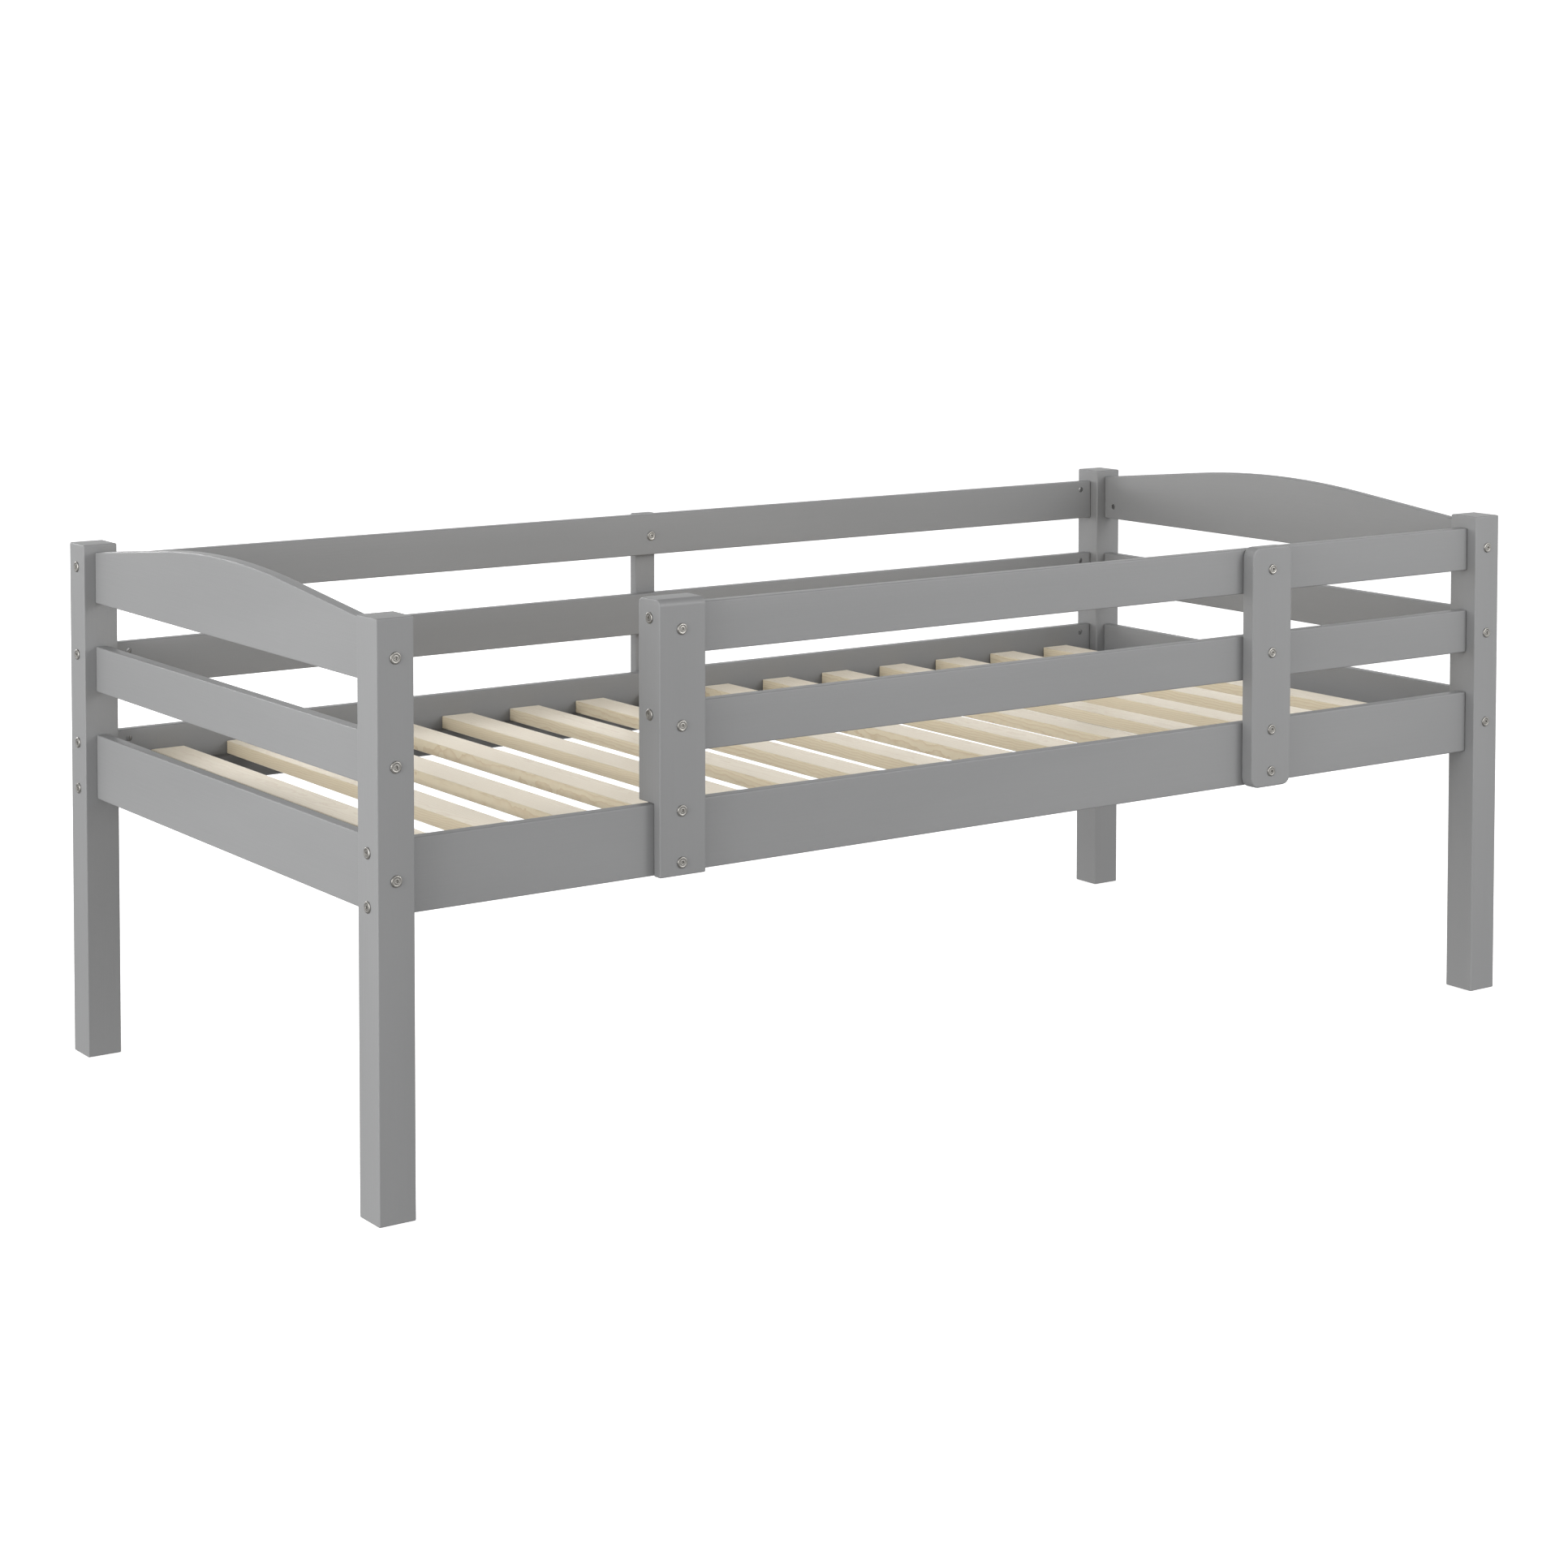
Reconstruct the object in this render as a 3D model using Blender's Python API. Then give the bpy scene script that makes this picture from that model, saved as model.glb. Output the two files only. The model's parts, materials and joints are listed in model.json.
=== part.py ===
"""A raised single bed with guard rails: square posts, painted boards, loose pine slats.

+X runs along the bed, +Y from the entry side to the back, +Z up. The origin is on the
floor, in the middle of the bed's bounding box. Sizes are in metres.
"""

import math

import bmesh
import bpy
from mathutils import Vector

# Overall sizes. The mattress is 2.0 m by 0.9 m, with 10 mm to spare each way.
MATTRESS = (2.0, 0.9)
MATTRESS_PLAY = 0.010
POST_SIDE = 0.054
POST_HEIGHT = 0.784
BOARD = 0.018
INSET = (POST_SIDE - BOARD) / 2
FIT_GAP = 0.0003

# Heights of the boards' lower and upper edges above the floor.
SIDE_RAIL_Z = (0.396, 0.494)
MID_RAIL_Z = (0.560, 0.629)
TOP_RAIL_Z = (0.695, 0.764)

# The arched top board of each end: an arc over the middle, with straight tangents.
ARCH_PEAK_Z = 0.8095
ARCH_RADIUS = 1.8
ARCH_HALF_ARC = 0.198
ARCH_STEPS = 12

# Slats and the ledgers that they lie on.
SLAT_COUNT = 15
SLAT_WIDTH = 0.056
SLAT_THICKNESS = 0.020
SLAT_PITCH = 0.1284
SLAT_TOP_Z = 0.459
SLAT_END_GAP = 0.001
LEDGER_DEPTH = 0.020
LEDGER_HEIGHT = 0.035

# The notched upright between the entry gap and the guard rails.
GATE_POST_X = 0.4316
GATE_POST_WIDTH = 0.075
GATE_POST_DEPTH = 0.053
GATE_POST_FRONT = 0.002
GATE_POST_Z = (0.395, 0.7735)
GATE_POST_ROUND = 0.010
GATE_TENON_INSET = 0.018

# The flat upright in front of the guard rails.
FRONT_BRACE_X = 1.5235
FRONT_BRACE_WIDTH = 0.082
FRONT_BRACE_DEPTH = 0.023
FRONT_BRACE_Z = (0.394, 0.768)
FRONT_BRACE_ROUND = 0.015

# The flat upright behind the back rails.
BACK_BRACE_X = 1.018
BACK_BRACE_WIDTH = 0.039
BACK_BRACE_Z = (0.396, 0.764)

EDGE_ROUND = 0.002
SLAT_EDGE_ROUND = 0.001
ROUND_STEPS = 2
CORNER_STEPS = 5
SHARP_ANGLE = math.radians(40)

# Connector bolts, and the barrel nuts' bores in the rails' inner faces.
BOLT_DIAMETER = 0.006
BOLT_HEAD_DIAMETER = 0.016
BOLT_HEAD_HEIGHT = 0.0018
BOLT_HEAD_CHAMFER = 0.0007
SOCKET_ACROSS_FLATS = 0.004
SOCKET_DEPTH = 0.0014
BOLT_BORE = 0.007
BORE_SPARE = 0.002
BARREL_BORE = 0.010
BARREL_DEPTH = 0.014
BARREL_INSET = 0.025
BOLT_PAST_BARREL = 0.006
BLIND_DEPTH = 0.015
ROUND_SIDES = 12
LONG_BOLT_Z = {"side_low": 0.410, "side_high": 0.480, "mid": 0.615, "top": 0.749}
END_BOLT_Z = {
    "front": {"side": 0.445, "mid": 0.592, "top": 0.732},
    "back": {"side": 0.445, "mid": 0.592, "top": 0.718},
}
GATE_SIDE_BOLT_Z = {"mid": 0.615, "top": 0.747}
GATE_FRONT_BOLT_Z = {"side_low": 0.413, "side_high": 0.484, "mid": 0.600, "top": 0.732}
FRONT_BRACE_BOLT_Z = {"side_low": 0.418, "side_high": 0.483, "mid": 0.603, "top": 0.733}
BACK_BRACE_BOLT_Z = {"side": 0.477, "mid": 0.594, "top": 0.727}
GATE_SIDE_BOLT_Y = 0.027
GATE_FRONT_BOLT_X = 0.4675

WELL = (MATTRESS[0] + MATTRESS_PLAY, MATTRESS[1] + MATTRESS_PLAY)
LENGTH = WELL[0] + 2 * (INSET + BOARD)
WIDTH = WELL[1] + 2 * (INSET + BOARD)
FRONT_BRACE_FRONT = INSET - FRONT_BRACE_DEPTH
CENTRE = Vector((LENGTH / 2, (FRONT_BRACE_FRONT + WIDTH) / 2, 0))
LEDGER_TOP = SLAT_TOP_Z - SLAT_THICKNESS - FIT_GAP


def clear_scene():
    for obj in list(bpy.data.objects):
        bpy.data.objects.remove(obj)


def make_material(name, colour, roughness, metallic=0.0):
    material = bpy.data.materials.new(name)
    material.use_nodes = True
    shader = material.node_tree.nodes["Principled BSDF"]
    shader.inputs["Base Color"].default_value = (*colour, 1.0)
    shader.inputs["Roughness"].default_value = roughness
    shader.inputs["Metallic"].default_value = metallic
    material.diffuse_color = (*colour, 1.0)
    return material


def add_object(name, mesh, material, at=Vector()):
    """Places a mesh at a point given from the front left corner of the posts."""
    obj = bpy.data.objects.new(name, mesh)
    obj.location = at - CENTRE
    if material is not None and not mesh.materials:
        mesh.materials.append(material)
    bpy.context.scene.collection.objects.link(obj)
    return obj


def finish_mesh(bm, name):
    bmesh.ops.recalc_face_normals(bm, faces=bm.faces)
    mesh = bpy.data.meshes.new(name)
    bm.to_mesh(mesh)
    bm.free()
    mesh.shade_smooth()
    mesh.set_sharp_from_angle(angle=SHARP_ANGLE)
    return mesh


def round_edges(bm, radius, steps):
    """Rounds the outward corners and leaves the notches' inner corners sharp."""
    bmesh.ops.recalc_face_normals(bm, faces=bm.faces)
    corners = [e for e in bm.edges if e.calc_face_angle_signed() > SHARP_ANGLE]
    bmesh.ops.bevel(
        bm, geom=corners, offset=radius, segments=steps, profile=0.5, affect="EDGES"
    )


def prism_mesh(name, outline, axis, depth, radius=EDGE_ROUND, steps=ROUND_STEPS):
    """A board cut to an outline. The outline's points leave out the axis of the depth."""
    bm = bmesh.new()
    points = []
    for a, b in outline:
        points.append(Vector((0, a, b)) if axis == 0 else Vector((a, 0, b)))
    face = bm.faces.new([bm.verts.new(point) for point in points])
    moved = bmesh.ops.extrude_face_region(bm, geom=[face])["geom"]
    along = Vector((depth, 0, 0)) if axis == 0 else Vector((0, depth, 0))
    bmesh.ops.translate(
        bm, vec=along, verts=[v for v in moved if isinstance(v, bmesh.types.BMVert)]
    )
    round_edges(bm, radius, steps)
    return finish_mesh(bm, name)


def box_mesh(name, size, radius=EDGE_ROUND, steps=ROUND_STEPS):
    width, depth, height = size
    outline = [(0, 0), (width, 0), (width, height), (0, height)]
    return prism_mesh(name, outline, 1, depth, radius, steps)


def arc(centre, radius, start, end):
    """Points along a corner's arc, with angles in degrees."""
    points = []
    for step in range(CORNER_STEPS + 1):
        angle = math.radians(start + (end - start) * step / CORNER_STEPS)
        a = centre[0] + radius * math.cos(angle)
        b = centre[1] + radius * math.sin(angle)
        points.append((a, b))
    return points


def cylinder_into(bm, start, direction, radius, length):
    """Adds a closed cylinder that begins at start and runs along direction."""
    turn = Vector((0, 0, 1)).rotation_difference(direction).to_matrix().to_4x4()
    turn.translation = start + direction * length / 2
    bmesh.ops.create_cone(
        bm,
        cap_ends=True,
        segments=ROUND_SIDES,
        radius1=radius,
        radius2=radius,
        depth=length,
        matrix=turn,
    )


# Posts and boards


def make_posts(paint):
    mesh = box_mesh("post", (POST_SIDE, POST_SIDE, POST_HEIGHT))
    far_x = LENGTH - POST_SIDE
    far_y = WIDTH - POST_SIDE
    places = {
        "post_front_left": (0, 0, 0),
        "post_front_right": (far_x, 0, 0),
        "post_back_left": (0, far_y, 0),
        "post_back_right": (far_x, far_y, 0),
    }
    return [add_object(name, mesh, paint, Vector(at)) for name, at in places.items()]


def make_long_rail(name, y, heights, start, paint):
    end = LENGTH - POST_SIDE - FIT_GAP
    size = (end - start, BOARD, heights[1] - heights[0])
    return add_object(name, box_mesh(name, size), paint, Vector((start, y, heights[0])))


def make_long_rails(paint):
    start = POST_SIDE + FIT_GAP
    back_y = WIDTH - INSET - BOARD
    tenon = GATE_POST_X + GATE_TENON_INSET
    return [
        make_long_rail("front_side_rail", INSET, SIDE_RAIL_Z, start, paint),
        make_long_rail("back_side_rail", back_y, SIDE_RAIL_Z, start, paint),
        make_long_rail("front_guard_rail_mid", INSET, MID_RAIL_Z, tenon, paint),
        make_long_rail("front_guard_rail_top", INSET, TOP_RAIL_Z, tenon, paint),
        make_long_rail("back_rail_mid", back_y, MID_RAIL_Z, start, paint),
        make_long_rail("back_rail_top", back_y, TOP_RAIL_Z, start, paint),
    ]


def arch_height(offset):
    """The arched board's upper edge, at a distance from the middle of the end."""
    offset = abs(offset)
    if offset < ARCH_HALF_ARC:
        return ARCH_PEAK_Z - offset**2 / (2 * ARCH_RADIUS)
    slope = ARCH_HALF_ARC / ARCH_RADIUS
    return ARCH_PEAK_Z - slope * (offset - ARCH_HALF_ARC / 2)


def arch_outline(length):
    middle = length / 2
    points = [(0, 0), (length, 0), (length, arch_height(middle) - TOP_RAIL_Z[0])]
    for step in range(ARCH_STEPS + 1):
        offset = ARCH_HALF_ARC * (1 - 2 * step / ARCH_STEPS)
        points.append((middle + offset, arch_height(offset) - TOP_RAIL_Z[0]))
    points.append((0, arch_height(middle) - TOP_RAIL_Z[0]))
    return points


def make_end_rails(paint):
    start = POST_SIDE + FIT_GAP
    length = WIDTH - 2 * start
    made = []
    for side, x in (("left", INSET), ("right", LENGTH - INSET - BOARD)):
        for level, heights in (("side", SIDE_RAIL_Z), ("mid", MID_RAIL_Z)):
            name = f"{side}_end_rail_{level}"
            mesh = box_mesh(name, (BOARD, length, heights[1] - heights[0]))
            made.append(add_object(name, mesh, paint, Vector((x, start, heights[0]))))
        name = f"{side}_end_arch"
        mesh = prism_mesh(name, arch_outline(length), 0, BOARD)
        made.append(add_object(name, mesh, paint, Vector((x, start, TOP_RAIL_Z[0]))))
    return made


# Uprights between the posts


def make_gate_post(paint, mortises):
    """The upright beside the entry gap: its front leg laps the side rail."""
    low, high = GATE_POST_Z
    back = GATE_POST_DEPTH
    lap = INSET - FIT_GAP - GATE_POST_FRONT
    notch = SIDE_RAIL_Z[1] + FIT_GAP - low
    top = high - low
    radius = GATE_POST_ROUND
    outline = [(0, 0), (lap, 0), (lap, notch), (back, notch)]
    outline += arc((back - radius, top - radius), radius, 0, 90)
    outline += arc((radius, top - radius), radius, 90, 180)
    mesh = prism_mesh("gate_post", outline, 0, GATE_POST_WIDTH)
    place = Vector((GATE_POST_X, GATE_POST_FRONT, low))
    obj = add_object("gate_post", mesh, paint, place)
    cut(obj, mortises)
    return obj


def make_front_brace(paint):
    low, high = FRONT_BRACE_Z
    radius = FRONT_BRACE_ROUND
    right = FRONT_BRACE_WIDTH - radius
    top = high - low - radius
    outline = arc((radius, radius), radius, 180, 270)
    outline += arc((right, radius), radius, 270, 360)
    outline += arc((right, top), radius, 0, 90)
    outline += arc((radius, top), radius, 90, 180)
    depth = FRONT_BRACE_DEPTH - FIT_GAP
    mesh = prism_mesh("front_brace", outline, 1, depth)
    place = Vector((FRONT_BRACE_X, FRONT_BRACE_FRONT, low))
    return add_object("front_brace", mesh, paint, place)


def make_back_brace(paint):
    low, high = BACK_BRACE_Z
    size = (BACK_BRACE_WIDTH, INSET - FIT_GAP, high - low)
    place = Vector((BACK_BRACE_X, WIDTH - INSET + FIT_GAP, low))
    return add_object("back_brace", box_mesh("back_brace", size), paint, place)


# Slats and ledgers


def make_ledgers(paint):
    length = LENGTH - 2 * (POST_SIDE + FIT_GAP)
    mesh = box_mesh("ledger", (length, LEDGER_DEPTH, LEDGER_HEIGHT), SLAT_EDGE_ROUND, 1)
    x = POST_SIDE + FIT_GAP
    z = LEDGER_TOP - LEDGER_HEIGHT
    front_y = INSET + BOARD + FIT_GAP
    back_y = WIDTH - front_y - LEDGER_DEPTH
    add_object("front_ledger", mesh, paint, Vector((x, front_y, z)))
    add_object("back_ledger", mesh, paint, Vector((x, back_y, z)))


def make_slats(pine):
    length = WELL[1] - 2 * SLAT_END_GAP
    mesh = box_mesh("slat", (SLAT_WIDTH, length, SLAT_THICKNESS), SLAT_EDGE_ROUND, 1)
    first = (LENGTH - SLAT_WIDTH - SLAT_PITCH * (SLAT_COUNT - 1)) / 2
    y = INSET + BOARD + SLAT_END_GAP
    for index in range(SLAT_COUNT):
        at = Vector((first + index * SLAT_PITCH, y, SLAT_TOP_Z - SLAT_THICKNESS))
        add_object(f"slat_{index + 1:02d}", mesh, pine, at)


# Bolts. Each joint is (name, point on the outer face, inward direction, length inside).


def post_joints():
    """The bolts through the posts: along X into the long rails, along Y into the ends."""
    middle = POST_SIDE / 2
    length = POST_SIDE + BARREL_INSET + BOLT_PAST_BARREL
    for x_name, x, inward_x in (("left", 0, 1), ("right", LENGTH, -1)):
        for y_name, y, inward_y in (("front", 0, 1), ("back", WIDTH, -1)):
            corner = f"{y_name}_{x_name}"
            for level, z in LONG_BOLT_Z.items():
                if corner == "front_left" and level in ("mid", "top"):
                    continue
                at = Vector((x, y + inward_y * middle, z))
                yield f"bolt_{corner}_long_{level}", at, Vector((inward_x, 0, 0)), length
            for level, z in END_BOLT_Z[y_name].items():
                at = Vector((x + inward_x * middle, y, z))
                yield f"bolt_{corner}_end_{level}", at, Vector((0, inward_y, 0)), length


def brace_joints():
    """The bolts that hold the three uprights to the long rails."""
    along_x = Vector((1, 0, 0))
    inward = Vector((0, 1, 0))
    for level, z in GATE_SIDE_BOLT_Z.items():
        at = Vector((GATE_POST_X, GATE_SIDE_BOLT_Y, z))
        length = GATE_POST_WIDTH + BOLT_PAST_BARREL + BARREL_BORE
        yield f"bolt_gate_side_{level}", at, along_x, length
    for level, z in GATE_FRONT_BOLT_Z.items():
        at = Vector((GATE_FRONT_BOLT_X, GATE_POST_FRONT, z))
        reach = BLIND_DEPTH if level.startswith("side") else BOARD + BLIND_DEPTH
        yield f"bolt_gate_front_{level}", at, inward, INSET - GATE_POST_FRONT + reach
    for level, z in FRONT_BRACE_BOLT_Z.items():
        at = Vector((FRONT_BRACE_X + FRONT_BRACE_WIDTH / 2, FRONT_BRACE_FRONT, z))
        length = FRONT_BRACE_DEPTH + BLIND_DEPTH
        yield f"bolt_front_brace_{level}", at, inward, length
    for level, z in BACK_BRACE_BOLT_Z.items():
        at = Vector((BACK_BRACE_X + BACK_BRACE_WIDTH / 2, WIDTH - INSET - BOARD, z))
        yield f"bolt_back_brace_{level}", at, inward, BOARD + BLIND_DEPTH


def barrel_bores():
    """Bores for the barrel nuts, as (point on the rail's inner face, direction)."""
    inset = POST_SIDE + BARREL_INSET
    inner = INSET + BOARD
    for x in (inset, LENGTH - inset):
        for y, outward in ((inner, -1), (WIDTH - inner, 1)):
            for level, z in LONG_BOLT_Z.items():
                if (x, y) == (inset, inner) and level in ("mid", "top"):
                    continue
                yield Vector((x, y, z)), Vector((0, outward, 0))
    for y_name, y in (("front", inset), ("back", WIDTH - inset)):
        for x, outward in ((inner, -1), (LENGTH - inner, 1)):
            for z in END_BOLT_Z[y_name].values():
                yield Vector((x, y, z)), Vector((outward, 0, 0))


def is_modelled(name):
    """The bolts that are made here: the long rails', the front posts' and the gate's."""
    return "_long_" in name or name.startswith(
        ("bolt_front_left_end", "bolt_front_right_end", "bolt_gate_front")
    )


def bolt_rings(length):
    """(radius, height, is it hexagonal) from the shank's tip to the socket's floor."""
    head = BOLT_HEAD_DIAMETER / 2
    shank = BOLT_DIAMETER / 2
    top = FIT_GAP + BOLT_HEAD_HEIGHT
    hexagon = SOCKET_ACROSS_FLATS / 2
    return [
        (shank - BOLT_HEAD_CHAMFER, -length, False),
        (shank, -length + BOLT_HEAD_CHAMFER, False),
        (shank, FIT_GAP, False),
        (head, FIT_GAP, False),
        (head, top - BOLT_HEAD_CHAMFER, False),
        (head - BOLT_HEAD_CHAMFER, top, False),
        (hexagon, top, True),
        (hexagon, top - SOCKET_DEPTH, True),
    ]


def hexagon_reach(angle):
    """How much further a hexagon's side lies at an angle than at its nearest point."""
    sixth = math.pi / 3
    return 1 / math.cos((angle + sixth / 2) % sixth - sixth / 2)


def bolt_mesh(length):
    """A flat-headed bolt along Z, its shank downwards and its socket up."""
    bm = bmesh.new()
    rings = []
    for radius, height, is_hexagon in bolt_rings(length):
        ring = []
        for side in range(ROUND_SIDES):
            angle = 2 * math.pi * side / ROUND_SIDES
            reach = radius * (hexagon_reach(angle) if is_hexagon else 1)
            place = (reach * math.cos(angle), reach * math.sin(angle), height)
            ring.append(bm.verts.new(place))
        rings.append(ring)
    for lower, upper in zip(rings, rings[1:]):
        for side in range(ROUND_SIDES):
            after = (side + 1) % ROUND_SIDES
            bm.faces.new((lower[side], lower[after], upper[after], upper[side]))
    bm.faces.new(list(reversed(rings[0])))
    bm.faces.new(rings[-1])
    return finish_mesh(bm, f"bolt_{length * 1000:.0f}")


def make_bolts(joints, steel):
    meshes = {}
    for name, at, inward, length in joints:
        if not is_modelled(name):
            continue
        key = round(length, 4)
        if key not in meshes:
            meshes[key] = bolt_mesh(length)
        obj = add_object(name, meshes[key], steel, at)
        obj.rotation_mode = "QUATERNION"
        obj.rotation_quaternion = Vector((0, 0, -1)).rotation_difference(inward)


# Cutters


def make_cutter(name, bm):
    cutter = add_object(name, finish_mesh(bm, name), None)
    cutter.hide_render = True
    cutter.display_type = "WIRE"
    return cutter


def bolt_cutter(joints):
    bm = bmesh.new()
    outside = BOLT_HEAD_HEIGHT
    for _, at, inward, length in joints:
        start = at - inward * outside
        depth = outside + length + BORE_SPARE
        cylinder_into(bm, start, inward, BOLT_BORE / 2, depth)
    return make_cutter("cutter_bolt_bores", bm)


def barrel_cutter():
    bm = bmesh.new()
    outside = BOLT_HEAD_HEIGHT
    for at, direction in barrel_bores():
        start = at - direction * outside
        cylinder_into(bm, start, direction, BARREL_BORE / 2, outside + BARREL_DEPTH)
    return make_cutter("cutter_barrel_bores", bm)


def mortise_cutter():
    """The two pockets in the gate post that house the guard rails' ends."""
    bm = bmesh.new()
    left = GATE_POST_X + GATE_TENON_INSET - FIT_GAP
    right = GATE_POST_X + GATE_POST_WIDTH + BORE_SPARE
    for low, high in (MID_RAIL_Z, TOP_RAIL_Z):
        corners = []
        for x in (left, right):
            for y in (INSET - FIT_GAP, INSET + BOARD + FIT_GAP):
                for z in (low - FIT_GAP, high + FIT_GAP):
                    corners.append(bm.verts.new((x, y, z)))
        bmesh.ops.convex_hull(bm, input=corners)
    return make_cutter("cutter_mortises", bm)


def cut(obj, cutter):
    modifier = obj.modifiers.new(cutter.name, "BOOLEAN")
    modifier.operation = "DIFFERENCE"
    modifier.object = cutter


def main():
    clear_scene()
    paint = make_material("grey_paint", (0.32, 0.325, 0.33), 0.5)
    ledger_paint = make_material("ledger_paint", (0.22, 0.22, 0.22), 0.6)
    pine = make_material("pine", (0.72, 0.62, 0.46), 0.55)
    steel = make_material("nickel_steel", (0.55, 0.53, 0.50), 0.35, 1.0)
    joints = [*post_joints(), *brace_joints()]
    bolt_bores = bolt_cutter(joints)
    nut_bores = barrel_cutter()
    rails = make_long_rails(paint) + make_end_rails(paint)
    uprights = [
        *make_posts(paint),
        make_gate_post(paint, mortise_cutter()),
        make_front_brace(paint),
        make_back_brace(paint),
    ]
    for obj in rails + uprights:
        cut(obj, bolt_bores)
    for obj in rails:
        cut(obj, nut_bores)
    make_ledgers(ledger_paint)
    make_slats(pine)
    make_bolts(joints, steel)


main()
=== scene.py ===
"""Looks for the raised single bed: lacquered boards, bare pine slats, plated fittings.

Every place comes from the frame, in metres. The boards are the frame's own solids with their
vertices joined, so that the eased edges shade as round. The bolts and the barrel nuts are
turned here in finer detail, also those that the frame has only as bores.
"""

import json
import math

import bmesh
import bpy
from mathutils import Matrix, Vector


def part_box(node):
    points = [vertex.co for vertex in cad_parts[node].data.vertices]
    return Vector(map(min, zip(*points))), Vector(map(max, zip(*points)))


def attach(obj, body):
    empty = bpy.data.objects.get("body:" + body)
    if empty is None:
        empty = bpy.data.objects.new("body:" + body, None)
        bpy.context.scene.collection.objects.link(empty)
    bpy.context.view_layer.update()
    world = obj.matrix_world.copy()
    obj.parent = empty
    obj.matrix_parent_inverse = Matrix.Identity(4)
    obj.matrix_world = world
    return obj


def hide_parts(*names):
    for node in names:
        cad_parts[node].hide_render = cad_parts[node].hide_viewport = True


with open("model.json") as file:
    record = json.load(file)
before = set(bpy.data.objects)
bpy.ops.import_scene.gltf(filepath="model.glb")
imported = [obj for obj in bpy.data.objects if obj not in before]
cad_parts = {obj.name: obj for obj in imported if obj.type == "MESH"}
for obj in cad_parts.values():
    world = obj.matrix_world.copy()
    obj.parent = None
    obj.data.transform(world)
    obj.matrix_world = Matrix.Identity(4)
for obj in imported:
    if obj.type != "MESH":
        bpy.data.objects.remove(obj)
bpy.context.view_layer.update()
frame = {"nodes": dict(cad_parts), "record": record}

ROOT = "root"
AXES = {"x": Vector((1, 0, 0)), "y": Vector((0, 1, 0)), "z": Vector((0, 0, 1))}

# Camera, with its angles in degrees
CAMERA_PLACE = (-2.915, -3.977, 1.360)
CAMERA_YAW = 34.44
CAMERA_PITCH = 2.74
CAMERA_LENS = 71.78
CAMERA_SHIFT = (0.0448, -0.300)
CAMERA_SENSOR = 36

# Studio light: a sky that is brightest at the horizon, black overhead and dim below it, and
# softboxes as (name, place, target, diameter, power).
SKY_HORIZON = 1.78
SKY_OVERHEAD = 0.0
SKY_BELOW = 0.40
SKY_LOWER_EDGE = -0.05
SOFTBOXES = (
    ("wall_left", (-9.0, -1.0, 1.6), (-1.0, 0.0, 0.4), 7.0, 440),
    ("key_left", (-3.6, -0.9, 1.1), (-1.0, -0.2, 0.5), 1.4, 26),
    ("fill_front", (1.6, -3.0, 1.7), (0.8, -0.4, 0.5), 1.6, 46),
    ("fill_back", (-1.0, 6.0, 1.8), (0.1, 0.4, 0.4), 2.0, 110),
)
FLOOR_SIZE = 120
FLOOR_LIFT = 0.60

# Boards
JOIN_DISTANCE = 1e-5
SHARP_ANGLE = math.radians(50)

# Bolts: (radius, height over the wood) up the head's turned profile, then the hexagon.
TURNED_SIDES = 48
HEAD_SEAT = 0.0003
HEAD_PROFILE = (
    (0.0080, 0.0003),
    (0.0080, 0.0009),
    (0.0078, 0.00135),
    (0.0073, 0.0018),
    (0.0068, 0.0020),
    (0.0062, 0.0021),
    (0.0056, 0.00205),
    (0.0050, 0.0018),
    (0.0040, 0.00175),
    (0.0034, 0.0019),
    (0.0028, 0.00195),
)
SHANK_RADIUS = 0.003
SHANK_TIP = 0.0007
SOCKET_MOUTH = 0.00215
SOCKET_RADIUS = 0.0020
SOCKET_BEVEL = 0.000175
SOCKET_FLOOR = 0.0004
POST_BOLT_LENGTH = 0.088
BRACE_BOLT_LENGTH = 0.033
FRAME_HEAD_HEIGHT = 0.0018
GOLDEN_ANGLE = math.radians(137.5)

# Barrel nuts. The slot is (half its width, half its length, its depth).
NUT_RADIUS = 0.0049
NUT_LENGTH = 0.0130
NUT_RECESS = 0.0004
NUT_CHAMFER = 0.0006
NUT_SLOT = (0.0007, 0.0036, 0.0010)
FACING_UP = 0.99

# Bolts and nuts that the frame has only as bores
GATE_SIDE_BOLT_Z = (0.615, 0.747)
GATE_SIDE_BOLT_INSET = 0.025
FRONT_BRACE_BOLT_Z = (0.418, 0.483, 0.603, 0.733)
BACK_BRACE_BOLT_Z = (0.477, 0.594, 0.727)
BACK_ARCH_BOLT_Z = 0.718
NUT_FROM_POST = 0.025

# Paint and plate
GREY = (0.215, 0.2165, 0.218)
# The ledger's grey is darker than GREY as painted shade, for the shadow that the slats cast on
# the ledger.
LEDGER_GREY_PAINTED_SHADE = (0.13, 0.13, 0.13)
NICKEL = (0.33, 0.32, 0.30)
ZINC = (0.25, 0.25, 0.25)

# Pine
PINE_TONES = ((0.82, 0.725, 0.535), (0.77, 0.675, 0.485))
PINE_CLOUDS = (0.86, 0.78, 0.605)
PINE_LATE_WOOD = (0.55, 0.38, 0.21)
PINE_FIBRES = (0.68, 0.55, 0.38)
PINE_FLECKS = (0.50, 0.35, 0.20)
PINE_EDGES = (0.92, 0.84, 0.69)
PINE_SHEEN = (1.0, 0.93, 0.82, 1.0)
SLAT_COUNT = 15
SLAT_STEP = 0.37
PITH_ASIDE = 0.030
PITH_ASIDE_DRIFT = 0.030
PITH_DEPTHS = (-0.055, -0.014)
PITH_DEPTH_DRIFT = 0.035
RING_WIDTH = 0.0031
RING_SWAY = 0.011
RING_RIPPLE = 0.0055


# Meshes


def middle(node):
    low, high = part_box(node)
    return (low + high) / 2


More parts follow.
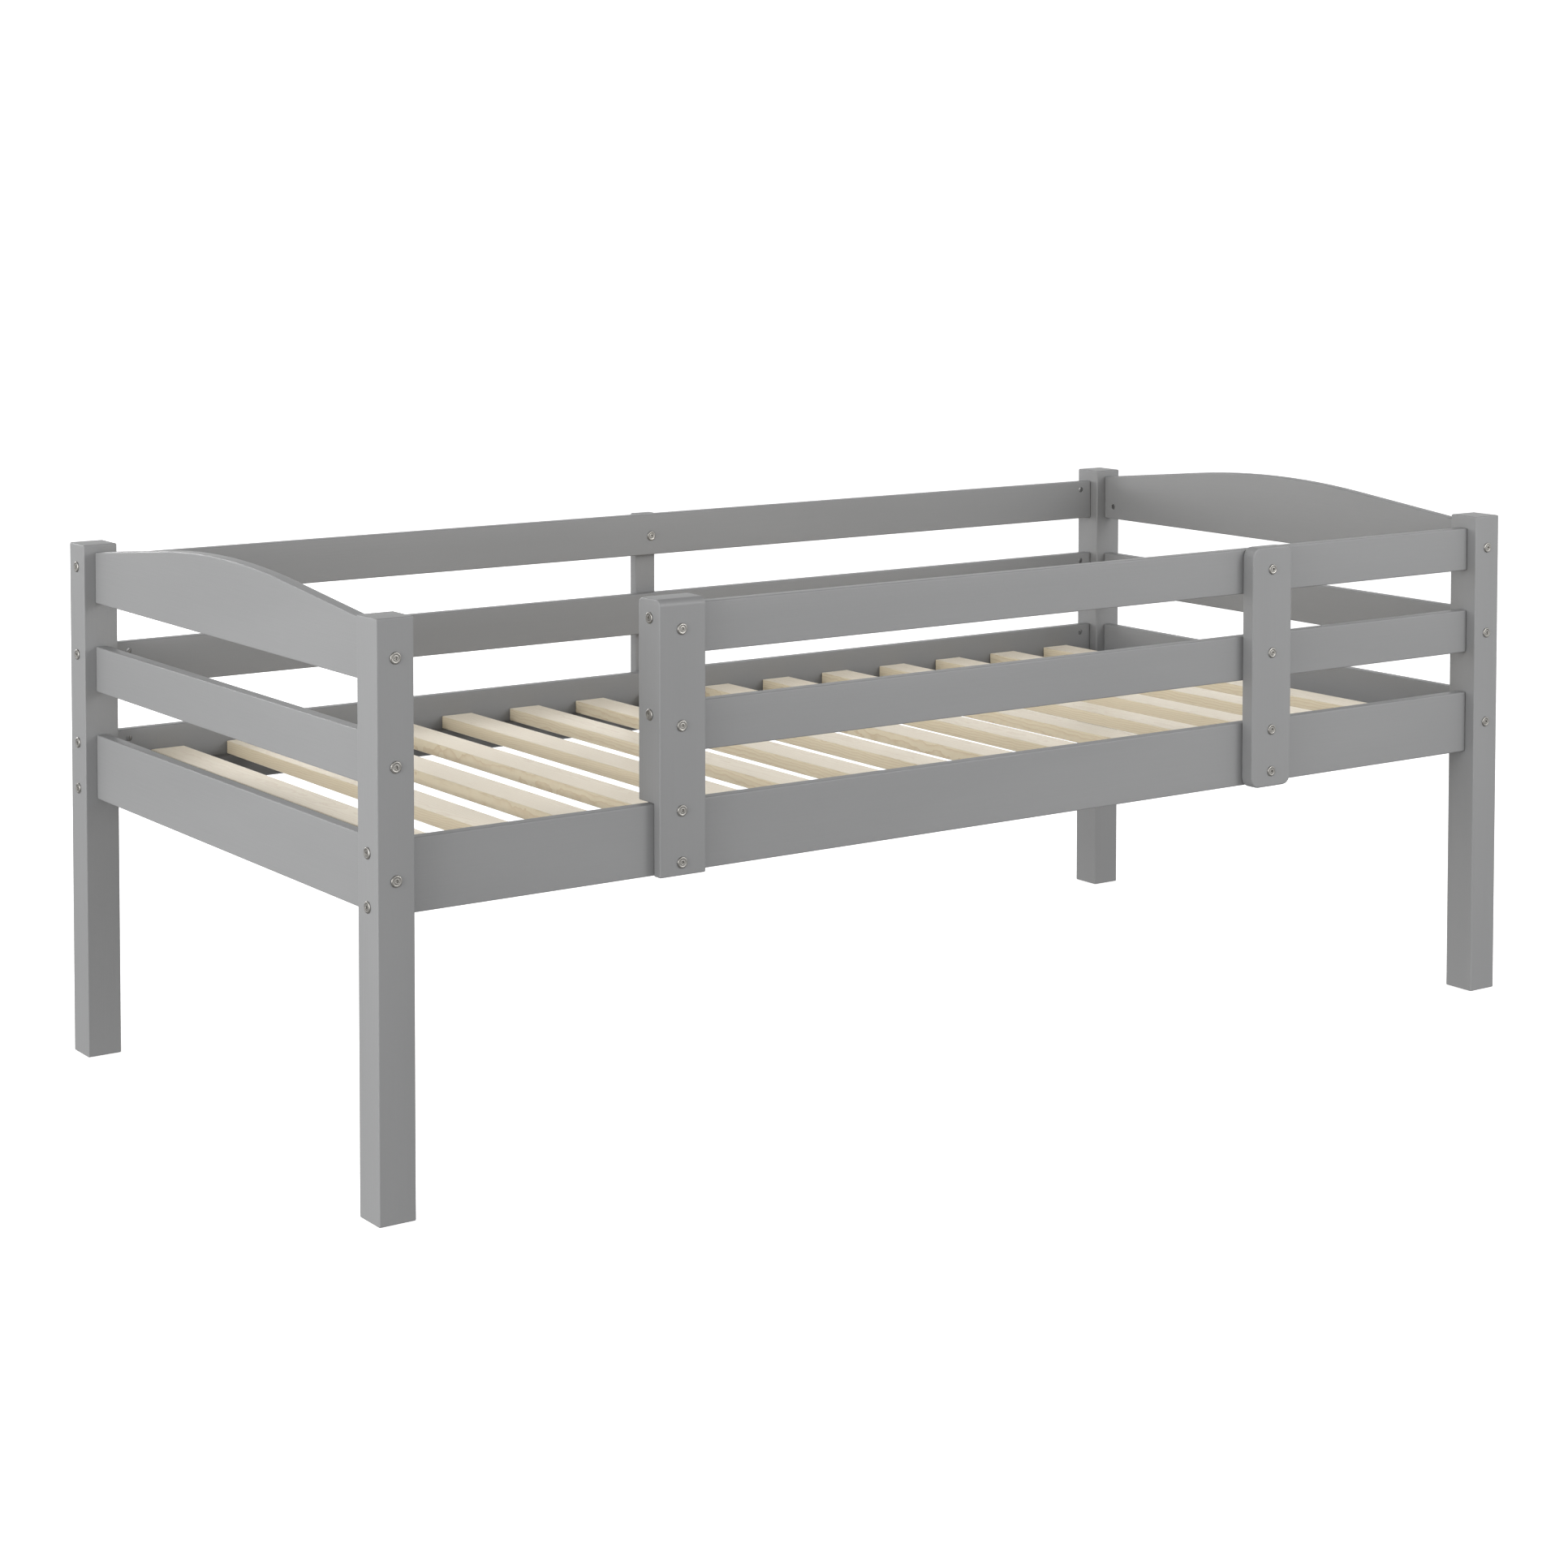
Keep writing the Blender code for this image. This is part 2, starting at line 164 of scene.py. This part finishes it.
def add_piece(name, mesh, material, nodes=(), place=Matrix.Identity(4)):
    """A piece of the bed that rides on its one body, and stands for CAD nodes if any."""
    piece = bpy.data.objects.new(name, mesh)
    bpy.context.scene.collection.objects.link(piece)
    piece.matrix_world = place
    if not mesh.materials:
        mesh.materials.append(material)
    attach(piece, ROOT)
    if nodes:
        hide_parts(*nodes)
    return piece


def finished(bm, name):
    bmesh.ops.recalc_face_normals(bm, faces=bm.faces)
    mesh = bpy.data.meshes.new(name)
    bm.to_mesh(mesh)
    bm.free()
    mesh.shade_smooth()
    mesh.set_sharp_from_angle(angle=SHARP_ANGLE)
    return mesh


def joined_mesh(node):
    """The CAD node's mesh with its vertices joined and only its real corners sharp."""
    bm = bmesh.new()
    bm.from_mesh(frame["nodes"][node].data)
    bmesh.ops.remove_doubles(bm, verts=bm.verts, dist=JOIN_DISTANCE)
    points = [tuple(vertex.co) for vertex in bm.verts]
    faces = [[vertex.index for vertex in face.verts] for face in bm.faces]
    bm.free()
    mesh = bpy.data.meshes.new(node + "_board")
    mesh.from_pydata(points, [], faces)
    mesh.validate()
    mesh.shade_smooth()
    mesh.set_sharp_from_angle(angle=SHARP_ANGLE)
    return mesh


def add_board(node, material):
    piece = add_piece(node + "_board", joined_mesh(node), material, (node,))
    normals = piece.modifiers.new("even_normals", "WEIGHTED_NORMAL")
    normals.keep_sharp = True


def hexagon_reach(angle):
    """How much further a hexagon's side lies at an angle than at its nearest point."""
    sixth = math.pi / 3
    return 1 / math.cos((angle + sixth / 2) % sixth - sixth / 2)


def turned_solid(rings):
    """A closed turned solid. A ring is (radius, height, is it hexagonal), tip first."""
    bm = bmesh.new()
    made = []
    for radius, height, is_hexagon in rings:
        ring = []
        for side in range(TURNED_SIDES):
            angle = 2 * math.pi * side / TURNED_SIDES
            reach = radius * (hexagon_reach(angle) if is_hexagon else 1)
            place = (reach * math.cos(angle), reach * math.sin(angle), height)
            ring.append(bm.verts.new(place))
        made.append(ring)
    for lower, upper in zip(made, made[1:]):
        for side in range(TURNED_SIDES):
            after = (side + 1) % TURNED_SIDES
            bm.faces.new((lower[side], lower[after], upper[after], upper[side]))
    bm.faces.new(list(reversed(made[0])))
    bm.faces.new(made[-1])
    bmesh.ops.recalc_face_normals(bm, faces=bm.faces)
    bm.normal_update()
    return bm


def bolt_mesh(name, length):
    """A connector bolt along Z, head up: a dished head with a hexagon socket."""
    head_top = HEAD_PROFILE[-1][1]
    rings = [
        (SHANK_RADIUS - SHANK_TIP, -length, False),
        (SHANK_RADIUS, -length + SHANK_TIP, False),
        (SHANK_RADIUS, HEAD_SEAT, False),
    ]
    rings += [(radius, height, False) for radius, height in HEAD_PROFILE]
    rings += [
        (SOCKET_MOUTH, head_top, True),
        (SOCKET_RADIUS, head_top - SOCKET_BEVEL, True),
        (SOCKET_RADIUS, SOCKET_FLOOR, True),
    ]
    return finished(turned_solid(rings), name)


def end_faces(bm):
    return [face for face in bm.faces if face.normal.z > FACING_UP]


def cut_slot(bm):
    """Sinks a slot into a turned solid's upper end."""
    half_width, half_length, depth = NUT_SLOT
    for along, reach in ((AXES["x"], half_width), (AXES["y"], half_length)):
        for side in (-1, 1):
            cap = end_faces(bm)
            edges = {edge for face in cap for edge in face.edges}
            corners = {vertex for face in cap for vertex in face.verts}
            bmesh.ops.bisect_plane(
                bm,
                geom=[*cap, *edges, *corners],
                plane_co=along * reach * side,
                plane_no=along,
            )
    slot = []
    for face in end_faces(bm):
        centre = face.calc_center_median()
        if abs(centre.x) < half_width and abs(centre.y) < half_length:
            slot.append(face)
    pushed = bmesh.ops.extrude_face_region(bm, geom=slot)["geom"]
    bmesh.ops.delete(bm, geom=slot, context="FACES_ONLY")
    low = [item for item in pushed if isinstance(item, bmesh.types.BMVert)]
    bmesh.ops.translate(bm, vec=(0, 0, -depth), verts=low)


def nut_mesh(name):
    """A barrel nut along Z, its slotted end up at height 0."""
    top = -NUT_RECESS
    bottom = top - NUT_LENGTH
    rings = [
        (NUT_RADIUS - NUT_CHAMFER, bottom, False),
        (NUT_RADIUS, bottom + NUT_CHAMFER, False),
        (NUT_RADIUS, top - NUT_CHAMFER, False),
        (NUT_RADIUS - NUT_CHAMFER, top, False),
    ]
    bm = turned_solid(rings)
    cut_slot(bm)
    return finished(bm, name)


# Materials


class Graph:
    """A material and a short way to write its nodes."""

    def __init__(self, name):
        self.material = bpy.data.materials.new(name)
        self.material.use_nodes = True
        self.tree = self.material.node_tree
        self.shader = self.tree.nodes["Principled BSDF"]

    def add(self, kind, **settings):
        node = self.tree.nodes.new("ShaderNode" + kind)
        for key, value in settings.items():
            setattr(node, key, value)
        return node

    def put(self, socket, value):
        """Links a socket to another one's value, or sets it to a plain value."""
        if isinstance(value, bpy.types.NodeSocket):
            self.tree.links.new(value, socket)
        else:
            socket.default_value = value

    def place(self):
        return self.add("TexCoord").outputs["Object"]

    def split(self, vector):
        node = self.add("SeparateXYZ")
        self.put(node.inputs[0], vector)
        return tuple(node.outputs)

    def join(self, *parts):
        node = self.add("CombineXYZ")
        for socket, value in zip(node.inputs, parts):
            self.put(socket, value)
        return node.outputs[0]

    def math(self, operation, *values):
        node = self.add("Math", operation=operation)
        for socket, value in zip(node.inputs, values):
            self.put(socket, value)
        return node.outputs[0]

    def between(self, value, low, high):
        """A 0 to 1 value brought into a range."""
        node = self.add("MapRange")
        self.put(node.inputs["Value"], value)
        self.put(node.inputs["To Min"], low)
        self.put(node.inputs["To Max"], high)
        return node.outputs["Result"]

    def step(self, value, low, high):
        """0 at low and 1 at high, with a smooth rise between."""
        node = self.add("MapRange", interpolation_type="SMOOTHSTEP")
        self.put(node.inputs["Value"], value)
        self.put(node.inputs["From Min"], low)
        self.put(node.inputs["From Max"], high)
        return node.outputs["Result"]

    def noise(self, place, scale, detail=2.0, roughness=0.5):
        """Noise with one scale, or one for each axis, as cells to a metre."""
        if isinstance(scale, (int, float)):
            scale = (scale, scale, scale)
        mapping = self.add("Mapping")
        self.put(mapping.inputs["Vector"], place)
        self.put(mapping.inputs["Scale"], scale)
        node = self.add("TexNoise")
        self.put(node.inputs["Vector"], mapping.outputs["Vector"])
        self.put(node.inputs["Scale"], 1.0)
        self.put(node.inputs["Detail"], detail)
        self.put(node.inputs["Roughness"], roughness)
        return node.outputs["Fac"]

    def mix(self, share, first, second):
        node = self.add("Mix", data_type="RGBA")
        self.put(node.inputs["Factor"], share)
        self.put(node.inputs[6], first)
        self.put(node.inputs[7], second)
        return node.outputs[2]

    def bump(self, height, distance, normal=None):
        node = self.add("Bump")
        self.put(node.inputs["Height"], height)
        self.put(node.inputs["Distance"], distance)
        if normal is not None:
            self.put(node.inputs["Normal"], normal)
        return node.outputs["Normal"]

    def edges(self, radius):
        """1 along a solid's edges and 0 on its flat faces."""
        bevel = self.add("Bevel", samples=6)
        self.put(bevel.inputs["Radius"], radius)
        flat = self.add("NewGeometry").outputs["True Normal"]
        dot = self.add("VectorMath", operation="DOT_PRODUCT")
        self.put(dot.inputs[0], bevel.outputs["Normal"])
        self.put(dot.inputs[1], flat)
        return self.step(dot.outputs["Value"], 0.99, 0.80)


def grained(scale_along, scale_across, axis):
    """Noise scales that stretch it along an axis."""
    return tuple(scale_along if name == axis else scale_across for name in AXES)


def shade(colour, factor=1):
    return (*[channel * factor for channel in colour], 1.0)


def lacquer(name, colour, axis, roughness):
    """Satin lacquer on smooth pine: fibres, faint mottling, and lighter edges that are partly
    paint worn thin and partly a painted highlight.
    """
    g = Graph(name)
    place = g.place()
    fibres = g.noise(place, grained(9, 700, axis), detail=3, roughness=0.6)
    clouds = g.noise(place, grained(1.6, 7, axis), detail=3)
    specks = g.noise(place, 420, detail=2)
    tone = g.mix(g.step(clouds, 0.3, 0.7), shade(colour, 0.965), shade(colour, 1.035))
    tone = g.mix(g.between(fibres, 0, 0.22), tone, shade(colour, 0.84))
    tone = g.mix(g.between(specks, 0, 0.16), tone, shade(colour, 1.16))
    # Lighter edges: partly paint worn thin, partly a painted highlight along the rounded edges.
    edge_wear_and_painted_highlight = g.math("MULTIPLY", g.edges(0.0016), g.between(clouds, 0.1, 0.55))
    tone = g.mix(edge_wear_and_painted_highlight, tone, shade(colour, 1.30))
    g.put(g.shader.inputs["Base Color"], tone)
    rough = g.math("MULTIPLY_ADD", fibres, 0.10, g.between(clouds, roughness - 0.07, roughness))
    g.put(g.shader.inputs["Roughness"], rough)
    g.shader.inputs["Specular IOR Level"].default_value = 0.5
    normal = g.bump(fibres, 0.00010)
    normal = g.bump(specks, 0.00006, normal)
    g.put(g.shader.inputs["Normal"], normal)
    return g.material


def slat_index(g, x):
    """Which slat a place is on, counted from the left, and how far from its middle."""
    first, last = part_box("slat_01"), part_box(f"slat_{SLAT_COUNT}")
    pitch = (last[0].x - first[0].x) / (SLAT_COUNT - 1)
    start = (first[0].x + first[1].x) / 2 - pitch / 2
    steps = g.math("DIVIDE", g.math("SUBTRACT", x, start), pitch)
    aside = g.math("MULTIPLY", g.math("SUBTRACT", g.math("FRACT", steps), 0.5), pitch)
    return g.math("FLOOR", steps), aside


def late_wood(g, aside, y, above, own, luck):
    """Growth rings' late wood, 0 to 1, in rings around a pith that drifts along the slat."""
    aside_drift = g.between(luck[1], -PITH_ASIDE_DRIFT, PITH_ASIDE_DRIFT)
    depth_drift = g.between(luck[0], -PITH_DEPTH_DRIFT, PITH_DEPTH_DRIFT)
    pith_aside = g.between(luck[0], -PITH_ASIDE, PITH_ASIDE)
    pith_aside = g.math("ADD", pith_aside, g.math("MULTIPLY", y, aside_drift))
    pith_depth = g.between(luck[2], *PITH_DEPTHS)
    pith_depth = g.math("ADD", pith_depth, g.math("MULTIPLY", y, depth_drift))
    across = g.math("POWER", g.math("SUBTRACT", aside, pith_aside), 2)
    down = g.math("POWER", g.math("SUBTRACT", above, pith_depth), 2)
    radius = g.math("SQRT", g.math("ADD", across, down))
    sway = g.noise(own, (22, 2.4, 22), detail=3)
    radius = g.math("ADD", radius, g.math("MULTIPLY", sway, RING_SWAY))
    ripple = g.noise(own, (45, 32, 45), detail=2)
    radius = g.math("ADD", radius, g.math("MULTIPLY", ripple, RING_RIPPLE))
    rings = g.math("FRACT", g.math("DIVIDE", radius, RING_WIDTH))
    return g.math("MULTIPLY", g.math("POWER", rings, 3.5), g.step(rings, 1.0, 0.93))


def pine():
    """Planed pine. Each slat is sawn from another part of a trunk whose pith runs along Y."""
    g = Graph("planed_pine")
    x, y, z = g.split(g.place())
    index, aside = slat_index(g, x)
    above = g.math("SUBTRACT", z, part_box("slat_01")[1].z)
    chance = g.add("TexWhiteNoise", noise_dimensions="1D")
    g.put(chance.inputs["W"], index)
    luck = g.split(chance.outputs["Color"])
    own = g.join(aside, y, g.math("ADD", above, g.math("MULTIPLY", index, SLAT_STEP)))
    late = late_wood(g, aside, y, above, own, luck)
    fibres = g.noise(own, (1100, 14, 1100), detail=3, roughness=0.65)
    flecks = g.noise(own, (420, 26, 420), detail=2)
    clouds = g.noise(own, (16, 3, 16), detail=2)
    tone = g.mix(luck[1], shade(PINE_TONES[0]), shade(PINE_TONES[1]))
    tone = g.mix(g.between(clouds, 0.0, 0.5), tone, shade(PINE_CLOUDS))
    tone = g.mix(g.math("MULTIPLY", late, 0.60), tone, shade(PINE_LATE_WOOD))
    tone = g.mix(g.between(fibres, 0.0, 0.30), tone, shade(PINE_FIBRES))
    tone = g.mix(g.math("MULTIPLY", g.step(flecks, 0.62, 0.74), 0.22), tone, shade(PINE_FLECKS))
    tone = g.mix(g.math("MULTIPLY", g.edges(0.0010), 0.25), tone, shade(PINE_EDGES))
    g.put(g.shader.inputs["Base Color"], tone)
    g.put(g.shader.inputs["Roughness"], g.between(fibres, 0.22, 0.40))
    g.shader.inputs["Specular IOR Level"].default_value = 0.5
    g.shader.inputs["Sheen Weight"].default_value = 0.8
    g.shader.inputs["Sheen Roughness"].default_value = 0.35
    g.shader.inputs["Sheen Tint"].default_value = PINE_SHEEN
    normal = g.bump(fibres, 0.00016)
    normal = g.bump(late, 0.00008, normal)
    g.put(g.shader.inputs["Normal"], normal)
    return g.material


def plated(name, colour, roughness):
    """Plated steel: finely marked, a little stained, brighter on the edges."""
    g = Graph(name)
    place = g.place()
    grain = g.noise(place, 900, detail=3)
    stains = g.noise(place, 160, detail=2)
    tone = g.mix(g.step(stains, 0.35, 0.75), shade(colour, 1.05), shade(colour, 0.80))
    tone = g.mix(g.math("MULTIPLY", g.edges(0.0004), 0.5), tone, shade(colour, 1.35))
    g.put(g.shader.inputs["Base Color"], tone)
    g.shader.inputs["Metallic"].default_value = 1.0
    g.put(g.shader.inputs["Roughness"], g.between(grain, roughness - 0.08, roughness + 0.12))
    g.put(g.shader.inputs["Normal"], g.bump(grain, 0.00003))
    return g.material


def floor_paint():
    """White studio floor, lifted a little so that it meets the background with no seam."""
    g = Graph("pale_floor")
    cloud = g.noise(g.place(), 1.3, detail=4)
    tone = g.mix(cloud, (0.89, 0.89, 0.89, 1), (0.91, 0.91, 0.91, 1))
    g.put(g.shader.inputs["Base Color"], tone)
    g.shader.inputs["Roughness"].default_value = 0.9
    g.shader.inputs["Specular IOR Level"].default_value = 0.1
    g.shader.inputs["Emission Color"].default_value = (1, 1, 1, 1)
    g.shader.inputs["Emission Strength"].default_value = FLOOR_LIFT
    return g.material


# The boards


def grain_axis(node):
    """The axis that a board's fibres run along: its longest side."""
    low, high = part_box(node)
    sides = high - low
    return max(AXES, key=lambda name: abs(sides.dot(AXES[name])))


def dress_boards():
    greys = {}
    for axis in AXES:
        greys[axis] = lacquer(f"grey_lacquer_{axis}", GREY, axis, 0.46)
    # The ledger's lacquer is the darker grey: painted shade under the slats.
    ledger = lacquer("ledger_lacquer_painted_shade", LEDGER_GREY_PAINTED_SHADE, "x", 0.60)
    bare = pine()
    for part in frame["record"]["subparts"]:
        node, slot = part["node"], part["material_slot"]
        if slot == "grey_paint":
            add_board(node, greys[grain_axis(node)])
        elif slot == "ledger_paint":
            add_board(node, ledger)
        elif slot == "pine":
            add_board(node, bare)


# The fittings


def node_bolts():
    """(name, place on the wood, outward direction, node) of the bolts in the frame."""
    for node in frame["nodes"]:
        if not node.startswith("bolt_"):
            continue
        outward = AXES["y"] * -1
        if "_long_" in node:
            outward = AXES["x"] * (-1 if "_left_" in node else 1)
        low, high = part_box(node)
        reach = abs((high - low).dot(outward)) / 2 - HEAD_SEAT - FRAME_HEAD_HEIGHT
        yield node + "_turned", middle(node) + outward * reach, outward, node


def bore_bolts():
    """(name, place on the wood, outward direction, length) of the bolts that are only bores."""
    for side in ("left", "right"):
        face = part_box(f"post_back_{side}")[1].y
        for level in ("side", "mid", "top"):
            opposite = middle(f"bolt_front_{side}_end_{level}")
            z = BACK_ARCH_BOLT_Z if level == "top" else opposite.z
            place = Vector((opposite.x, face, z))
            yield f"bolt_back_{side}_end_{level}", place, AXES["y"], POST_BOLT_LENGTH
    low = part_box("gate_post")[0]
    for level, z in zip(("mid", "top"), GATE_SIDE_BOLT_Z):
        place = Vector((low.x, low.y + GATE_SIDE_BOLT_INSET, z))
        yield f"bolt_gate_side_{level}", place, -AXES["x"], POST_BOLT_LENGTH
    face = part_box("front_brace")[0].y
    for number, z in enumerate(FRONT_BRACE_BOLT_Z, 1):
        place = Vector((middle("front_brace").x, face, z))
        yield f"bolt_front_brace_{number}", place, -AXES["y"], BRACE_BOLT_LENGTH
    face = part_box("back_rail_mid")[0].y
    for number, z in enumerate(BACK_BRACE_BOLT_Z, 1):
        place = Vector((middle("back_brace").x, face, z))
        yield f"bolt_back_brace_{number}", place, -AXES["y"], BRACE_BOLT_LENGTH


def nut_places():
    """(name, place on a rail's inner face, direction out of the bore) of the barrel nuts."""
    rails = {"front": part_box("front_side_rail")[1].y, "back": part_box("back_side_rail")[0].y}
    ends = {"left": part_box("left_end_arch")[1].x, "right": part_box("right_end_arch")[0].x}
    for y_name, into_y in (("front", 1), ("back", -1)):
        for x_name, into_x in (("left", 1), ("right", -1)):
            corner = f"{y_name}_{x_name}"
            low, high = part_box(f"post_{corner}")
            x = (high.x if into_x > 0 else low.x) + into_x * NUT_FROM_POST
            y = (high.y if into_y > 0 else low.y) + into_y * NUT_FROM_POST
            for level in ("side_low", "side_high", "mid", "top"):
                bolt = f"bolt_{corner}_long_{level}"
                if bolt in frame["nodes"]:
                    place = Vector((x, rails[y_name], middle(bolt).z))
                    yield f"nut_{corner}_long_{level}", place, AXES["y"] * into_y
            for level in ("side", "mid", "top"):
                z = middle(f"bolt_front_{x_name}_end_{level}").z
                if y_name == "back" and level == "top":
                    z = BACK_ARCH_BOLT_Z
                place = Vector((ends[x_name], y, z))
                yield f"nut_{corner}_end_{level}", place, AXES["x"] * into_x


def fitting_place(point, outward, number):
    """Faces a fitting outward at a point. Each one is turned further than the one before."""
    facing = AXES["z"].rotation_difference(outward).to_matrix().to_4x4()
    return Matrix.Translation(point) @ facing @ Matrix.Rotation(number * GOLDEN_ANGLE, 4, "Z")


def make_fittings():
    nickel = plated("nickel_plate", NICKEL, 0.40)
    zinc = plated("zinc_plate", ZINC, 0.45)
    long_bolt = bolt_mesh("connector_bolt_long", POST_BOLT_LENGTH)
    short_bolt = bolt_mesh("connector_bolt_short", BRACE_BOLT_LENGTH)
    nut = nut_mesh("barrel_nut")
    for number, (name, point, outward, node) in enumerate(node_bolts()):
        mesh = short_bolt if "_gate_front_" in node else long_bolt
        place = fitting_place(point, outward, number)
        add_piece(name, mesh, nickel, (node,), place)
    for number, (name, point, outward, length) in enumerate(bore_bolts()):
        mesh = short_bolt if length == BRACE_BOLT_LENGTH else long_bolt
        place = fitting_place(point, outward, number)
        add_piece(name, mesh, nickel, (), place)
    for number, (name, point, outward) in enumerate(nut_places()):
        place = fitting_place(point, outward, number)
        add_piece(name, nut, zinc, (), place)


# The studio


def make_floor():
    """A floor that the camera sees but that lights nothing: the sky's lower half does."""
    bpy.ops.mesh.primitive_plane_add(size=FLOOR_SIZE, location=(0, 0, 0))
    floor = bpy.context.object
    floor.name = "studio_floor"
    floor.visible_diffuse = False
    floor.visible_glossy = False
    floor.visible_shadow = False
    floor.data.materials.append(floor_paint())


def add_softbox(name, place, target, size, power):
    light = bpy.data.lights.new(name, "AREA")
    light.shape = "DISK"
    light.size = size
    light.energy = power
    lamp = bpy.data.objects.new(name, light)
    lamp.location = place
    towards = Vector(target) - Vector(place)
    lamp.rotation_euler = towards.to_track_quat("-Z", "Y").to_euler()
    lamp.visible_camera = False
    bpy.context.scene.collection.objects.link(lamp)


def make_sky():
    world = bpy.data.worlds.new("studio")
    world.use_nodes = True
    tree = world.node_tree
    sky = tree.nodes["Background"]
    direction = tree.nodes.new("ShaderNodeTexCoord").outputs["Generated"]
    parts = tree.nodes.new("ShaderNodeSeparateXYZ")
    tree.links.new(direction, parts.inputs[0])
    above = tree.nodes.new("ShaderNodeMapRange")
    above.inputs["To Min"].default_value = SKY_HORIZON
    above.inputs["To Max"].default_value = SKY_OVERHEAD
    tree.links.new(parts.outputs["Z"], above.inputs["Value"])
    is_below = tree.nodes.new("ShaderNodeMath")
    is_below.operation = "LESS_THAN"
    is_below.inputs[1].default_value = SKY_LOWER_EDGE
    tree.links.new(parts.outputs["Z"], is_below.inputs[0])
    strength = tree.nodes.new("ShaderNodeMix")
    strength.inputs["B"].default_value = SKY_BELOW
    tree.links.new(is_below.outputs[0], strength.inputs["Factor"])
    tree.links.new(above.outputs["Result"], strength.inputs["A"])
    tree.links.new(strength.outputs["Result"], sky.inputs["Strength"])
    sky.inputs["Color"].default_value = (1, 1, 1, 1)
    bpy.context.scene.world = world


def light_studio():
    make_sky()
    for softbox in SOFTBOXES:
        add_softbox(*softbox)
    bpy.context.scene.view_settings.view_transform = "Standard"


def set_camera():
    camera = bpy.data.objects.new("camera", bpy.data.cameras.new("camera"))
    camera.location = CAMERA_PLACE
    tilt = math.radians(90 - CAMERA_PITCH)
    camera.rotation_euler = (tilt, 0, math.radians(-CAMERA_YAW))
    camera.data.sensor_width = CAMERA_SENSOR
    camera.data.lens = CAMERA_LENS
    camera.data.shift_x, camera.data.shift_y = CAMERA_SHIFT
    bpy.context.scene.collection.objects.link(camera)
    bpy.context.scene.camera = camera


set_camera()
dress_boards()
make_fittings()
make_floor()
light_studio()
